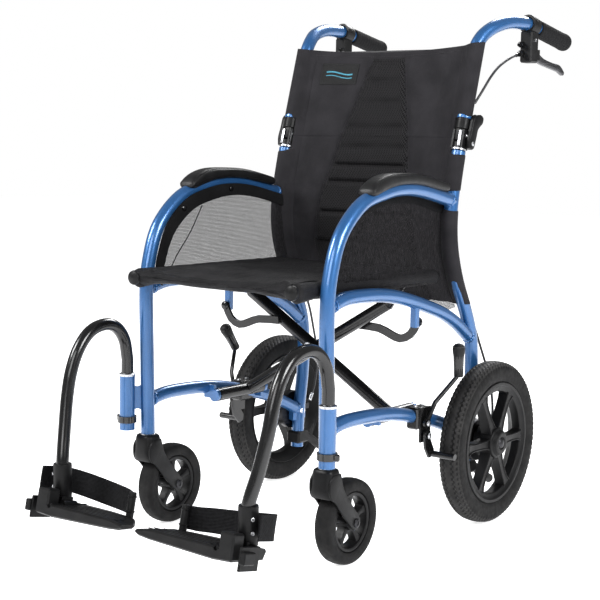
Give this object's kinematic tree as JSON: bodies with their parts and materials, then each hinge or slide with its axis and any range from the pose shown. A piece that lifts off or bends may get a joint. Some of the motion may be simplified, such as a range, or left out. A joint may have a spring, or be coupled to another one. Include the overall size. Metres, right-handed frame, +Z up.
{
  "type": "transport wheelchair",
  "caption": "Folding transport wheelchair: tubular side frames on a scissor brace, sling seat, fold-down back, swing-away footrests and attendant brakes.",
  "frame": {"origin": "on the floor, under the middle of the whole chair's box", "axes": "+X to the sitter's left, +Y to the rear (the chair faces -Y), +Z up"},
  "size_m": [0.569, 1.0483, 0.9795],
  "materials": {
    "blue_paint": "glossy metallic",
    "black_paint": "gloss powder coat",
    "dark_metal": "satin",
    "bright_steel": "bright zinc",
    "black_plastic": "satin moulded",
    "black_rubber": "matt",
    "tyre_rubber": "matt",
    "arm_pad": "soft-touch foam skin",
    "grip_foam": "matt foam",
    "cable_sheath": "satin",
    "upholstery": "matt woven nylon",
    "mesh_cloth": "open mesh",
    "webbing": "ribbed webbing"
  },
  "bodies": {
    "frame_right": {"side_frame_right": "blue_paint", "hub_brake_right": "dark_metal", "armrest_pad_right": "arm_pad", "side_guard_right": "mesh_cloth", "back_hinge_right": "dark_metal", "brake_cable_lower_right": "cable_sheath", "parking_brake_bracket_right": "black_paint", "tipping_lever_right": "black_rubber", "back_sling_lower": "upholstery"},
    "frame_left": {"side_frame_left": "blue_paint", "hub_brake_left": "dark_metal", "armrest_pad_left": "arm_pad", "side_guard_left": "mesh_cloth", "back_hinge_left": "dark_metal", "brake_cable_lower_left": "cable_sheath", "parking_brake_bracket_left": "black_paint", "tipping_lever_left": "black_rubber"},
    "brace_a": {"cross_brace_a": "black_paint", "brace_centre_bolt": "bright_steel"},
    "brace_b": {"cross_brace_b": "black_paint"},
    "seat": {"seat_sling": "upholstery"},
    "link_left": {"link_arm_left": "black_paint"},
    "caster_left": {"caster_fork_left": "black_plastic"},
    "caster_wheel_left": {"caster_rim_left": "black_plastic", "caster_tyre_left": "tyre_rubber"},
    "rear_wheel_left": {"rear_rim_left": "black_plastic", "rear_tyre_left": "tyre_rubber"},
    "handle_left": {"push_handle_left": "blue_paint", "handle_grip_left": "grip_foam", "brake_housing_left": "black_plastic", "brake_cable_upper_left": "cable_sheath"},
    "brake_lever_left": {"brake_lever_left": "dark_metal"},
    "release_left": {"back_release_lever_left": "black_plastic"},
    "hanger_left": {"footrest_hanger_left": "black_paint", "footplate_bracket_left": "black_plastic"},
    "footplate_left": {"footplate_left": "black_plastic", "heel_loop_left": "webbing"},
    "latch_left": {"hanger_latch_left": "black_plastic"},
    "parking_lever_left": {"parking_brake_lever_left": "black_rubber"},
    "parking_shoe_left": {"parking_brake_shoe_left": "black_paint"},
    "link_right": {"link_arm_right": "black_paint"},
    "caster_right": {"caster_fork_right": "black_plastic"},
    "caster_wheel_right": {"caster_rim_right": "black_plastic", "caster_tyre_right": "tyre_rubber"},
    "rear_wheel_right": {"rear_rim_right": "black_plastic", "rear_tyre_right": "tyre_rubber"},
    "handle_right": {"push_handle_right": "blue_paint", "handle_grip_right": "grip_foam", "brake_housing_right": "black_plastic", "brake_cable_upper_right": "cable_sheath", "back_sling_upper": "upholstery"},
    "brake_lever_right": {"brake_lever_right": "dark_metal"},
    "release_right": {"back_release_lever_right": "black_plastic"},
    "hanger_right": {"footrest_hanger_right": "black_paint", "footplate_bracket_right": "black_plastic"},
    "footplate_right": {"footplate_right": "black_plastic", "heel_loop_right": "webbing"},
    "latch_right": {"hanger_latch_right": "black_plastic"},
    "parking_lever_right": {"parking_brake_lever_right": "black_rubber"},
    "parking_shoe_right": {"parking_brake_shoe_right": "black_paint"}
  },
  "joints": [
    {"name": "fold", "type": "hinge", "parent": "frame_right", "child": "brace_a", "pos_m": [-0.178, 0, 0.232], "axis": [0, -1, 0], "range_deg": [0, 44.5], "deforming": ["back_sling_lower", "back_sling_upper", "seat_sling"]},
    {"name": "brace_cross", "type": "hinge", "parent": "brace_a", "child": "brace_b", "pos_m": [0, 0, 0.34], "axis": [0, -1, 0], "range_deg": [-89, 0]},
    {"name": "frame_swing", "type": "hinge", "parent": "brace_b", "child": "frame_left", "pos_m": [0.178, 0, 0.232], "axis": [0, -1, 0], "range_deg": [0, 44.5]},
    {"name": "seat_level", "type": "hinge", "parent": "brace_a", "child": "seat", "pos_m": [0.176, 0, 0.476], "axis": [0, -1, 0], "range_deg": [-44.5, 0]},
    {"name": "link_left", "type": "hinge", "parent": "frame_left", "child": "link_left", "pos_m": [0.204, 0, 0.4], "axis": [0, 1, 0], "range_deg": [0, 68.08]},
    {"name": "caster_swivel_left", "type": "hinge", "parent": "frame_left", "child": "caster_left", "pos_m": [0.204, -0.259, 0.18], "axis": [0, 0, 1], "continuous": true},
    {"name": "caster_roll_left", "type": "hinge", "parent": "caster_left", "child": "caster_wheel_left", "pos_m": [0.204, -0.197, 0.075], "axis": [1, 0, 0], "continuous": true},
    {"name": "rear_roll_left", "type": "hinge", "parent": "frame_left", "child": "rear_wheel_left", "pos_m": [0.254, 0.206, 0.1555], "axis": [1, 0, 0], "continuous": true},
    {"name": "back_fold_left", "type": "hinge", "parent": "frame_left", "child": "handle_left", "pos_m": [0.203, 0.152, 0.738], "axis": [-1, 0, 0], "range_deg": [0, 95]},
    {"name": "hand_brake_left", "type": "hinge", "parent": "handle_left", "child": "brake_lever_left", "pos_m": [0.224, 0.396, 0.903], "axis": [1, 0, 0], "range_deg": [0, 14], "stiffness_Nm_per_rad": 0.6},
    {"name": "back_release_left", "type": "hinge", "parent": "frame_left", "child": "release_left", "pos_m": [0.222, 0.155, 0.724], "axis": [-1, 0, 0], "range_deg": [0, 20], "stiffness_Nm_per_rad": 0.5},
    {"name": "footrest_swing_left", "type": "hinge", "parent": "frame_left", "child": "hanger_left", "pos_m": [0.2275, -0.29, 0.188], "axis": [0, 0, 1], "range_deg": [0, 95]},
    {"name": "footplate_flip_left", "type": "hinge", "parent": "hanger_left", "child": "footplate_left", "pos_m": [0.186, -0.47666, 0.08929], "axis": [0, 0.9781, -0.2079], "range_deg": [0, 88], "deforming": ["heel_loop_left"]},
    {"name": "hanger_latch_left", "type": "slide", "parent": "frame_left", "child": "latch_left", "axis": [0, 0, -1], "range_m": [0, 0.005], "stiffness_N_per_m": 400},
    {"name": "parking_brake_left", "type": "hinge", "parent": "frame_left", "child": "parking_lever_left", "pos_m": [0.238, 0.018, 0.216], "axis": [1, 0, 0], "range_deg": [0, 50]},
    {"name": "parking_shoe_left", "type": "hinge", "parent": "frame_left", "child": "parking_shoe_left", "pos_m": [0.238, 0.022, 0.192], "axis": [1, 0, 0], "range_deg": [0, 12]},
    {"name": "link_right", "type": "hinge", "parent": "frame_right", "child": "link_right", "pos_m": [-0.204, 0, 0.4], "axis": [0, -1, 0], "range_deg": [0, 68.08]},
    {"name": "caster_swivel_right", "type": "hinge", "parent": "frame_right", "child": "caster_right", "pos_m": [-0.204, -0.259, 0.18], "axis": [0, 0, 1], "continuous": true},
    {"name": "caster_roll_right", "type": "hinge", "parent": "caster_right", "child": "caster_wheel_right", "pos_m": [-0.204, -0.197, 0.075], "axis": [1, 0, 0], "continuous": true},
    {"name": "rear_roll_right", "type": "hinge", "parent": "frame_right", "child": "rear_wheel_right", "pos_m": [-0.254, 0.206, 0.1555], "axis": [1, 0, 0], "continuous": true},
    {"name": "back_fold_right", "type": "hinge", "parent": "frame_right", "child": "handle_right", "pos_m": [-0.203, 0.152, 0.738], "axis": [-1, 0, 0], "range_deg": [0, 95]},
    {"name": "hand_brake_right", "type": "hinge", "parent": "handle_right", "child": "brake_lever_right", "pos_m": [-0.224, 0.396, 0.903], "axis": [1, 0, 0], "range_deg": [0, 14], "stiffness_Nm_per_rad": 0.6},
    {"name": "back_release_right", "type": "hinge", "parent": "frame_right", "child": "release_right", "pos_m": [-0.222, 0.155, 0.724], "axis": [-1, 0, 0], "range_deg": [0, 20], "stiffness_Nm_per_rad": 0.5},
    {"name": "footrest_swing_right", "type": "hinge", "parent": "frame_right", "child": "hanger_right", "pos_m": [-0.2275, -0.29, 0.188], "axis": [0, 0, -1], "range_deg": [0, 95]},
    {"name": "footplate_flip_right", "type": "hinge", "parent": "hanger_right", "child": "footplate_right", "pos_m": [-0.186, -0.47666, 0.08929], "axis": [0, -0.9781, 0.2079], "range_deg": [0, 88], "deforming": ["heel_loop_right"]},
    {"name": "hanger_latch_right", "type": "slide", "parent": "frame_right", "child": "latch_right", "axis": [0, 0, -1], "range_m": [0, 0.005], "stiffness_N_per_m": 400},
    {"name": "parking_brake_right", "type": "hinge", "parent": "frame_right", "child": "parking_lever_right", "pos_m": [-0.238, 0.018, 0.216], "axis": [1, 0, 0], "range_deg": [-33, 17]},
    {"name": "parking_shoe_right", "type": "hinge", "parent": "frame_right", "child": "parking_shoe_right", "pos_m": [-0.238, 0.022, 0.192], "axis": [1, 0, 0], "range_deg": [-8, 4.2]}
  ],
  "couplings": [
    {"joint": "brace_cross", "follows": "fold", "ratio": -2},
    {"joint": "frame_swing", "follows": "fold", "ratio": 1},
    {"joint": "seat_level", "follows": "fold", "ratio": -1},
    {"joint": "link_left", "follows": "fold", "ratio": 1.53},
    {"joint": "footplate_flip_left", "follows": "fold", "ratio": 1.977},
    {"joint": "parking_shoe_left", "follows": "parking_brake_left", "ratio": 0.235},
    {"joint": "link_right", "follows": "fold", "ratio": 1.53},
    {"joint": "footplate_flip_right", "follows": "fold", "ratio": 1.977},
    {"joint": "parking_shoe_right", "follows": "parking_brake_right", "ratio": 0.235},
    {"joint": "back_fold_left", "follows": "back_fold_right", "ratio": 1}
  ]
}
